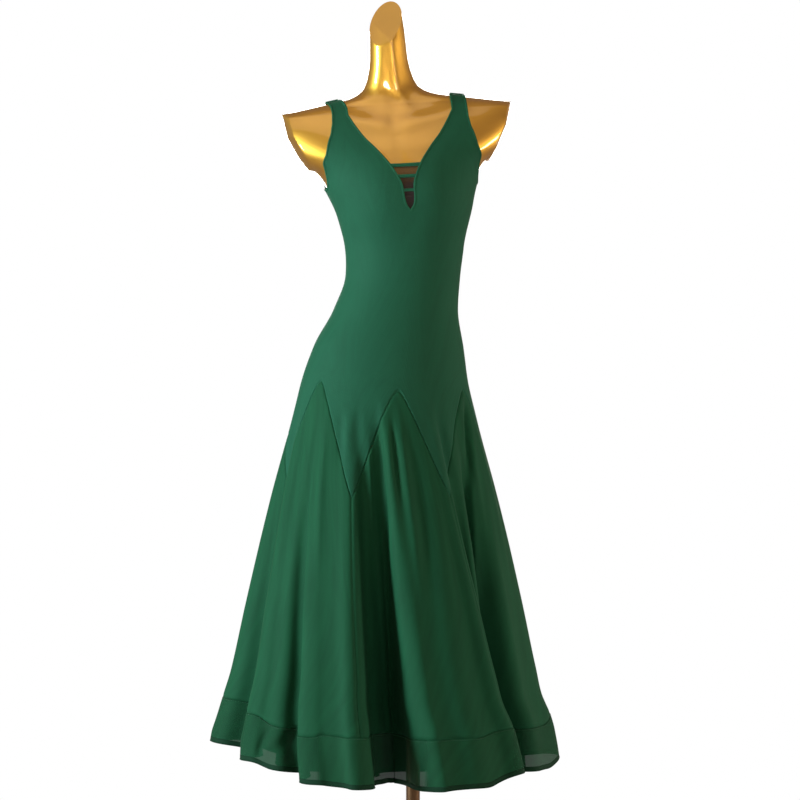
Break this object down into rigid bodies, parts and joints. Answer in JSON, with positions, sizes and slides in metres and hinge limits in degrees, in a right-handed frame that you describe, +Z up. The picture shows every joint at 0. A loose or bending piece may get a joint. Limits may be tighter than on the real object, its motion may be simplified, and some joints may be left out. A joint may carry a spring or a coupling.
{
  "type": "dance dress on a dress form",
  "caption": "Sleeveless V-neck dance dress with a keyhole, ladder bands, a pointed dropped waist and a fluted godet skirt, on a limbless display torso with a pole and base.",
  "frame": {"origin": "middle of the stand's base where it meets the floor, on the pole's axis", "axes": "+Z up along the pole, -Y towards the front of the dress, +X towards the wearer's left"},
  "size_m": [0.6291, 0.6138, 1.5429],
  "materials": {
    "jersey": "matte, dark green stretch jersey",
    "chiffon": "soft, dark green chiffon",
    "hem": "dark green chiffon over stiffening",
    "trim": "dark green self-fabric edge",
    "mesh": "fine dark mesh",
    "gold": "glossy metallic gold over a hard shell",
    "pole": "bronze brown tube",
    "base": "satin plate"
  },
  "bodies": {
    "root": {"bodice_front": "jersey", "bodice_back": "jersey", "godet_right_front": "chiffon", "godet_front": "chiffon", "godet_left_front": "chiffon", "godet_left_back": "chiffon", "godet_back": "chiffon", "godet_right_back": "chiffon", "hem_band_front": "hem", "hem_band_back": "hem", "neck_binding_front": "trim", "neck_binding_back": "trim", "armhole_binding_front_right": "trim", "armhole_binding_front_left": "trim", "armhole_binding_back_right": "trim", "armhole_binding_back_left": "trim", "ladder_band_1": "trim", "ladder_band_2": "trim", "ladder_band_3": "trim", "keyhole_inset": "mesh", "display_torso": "gold", "stand_pole": "pole", "stand_base": "base"}
  },
  "joints": []
}
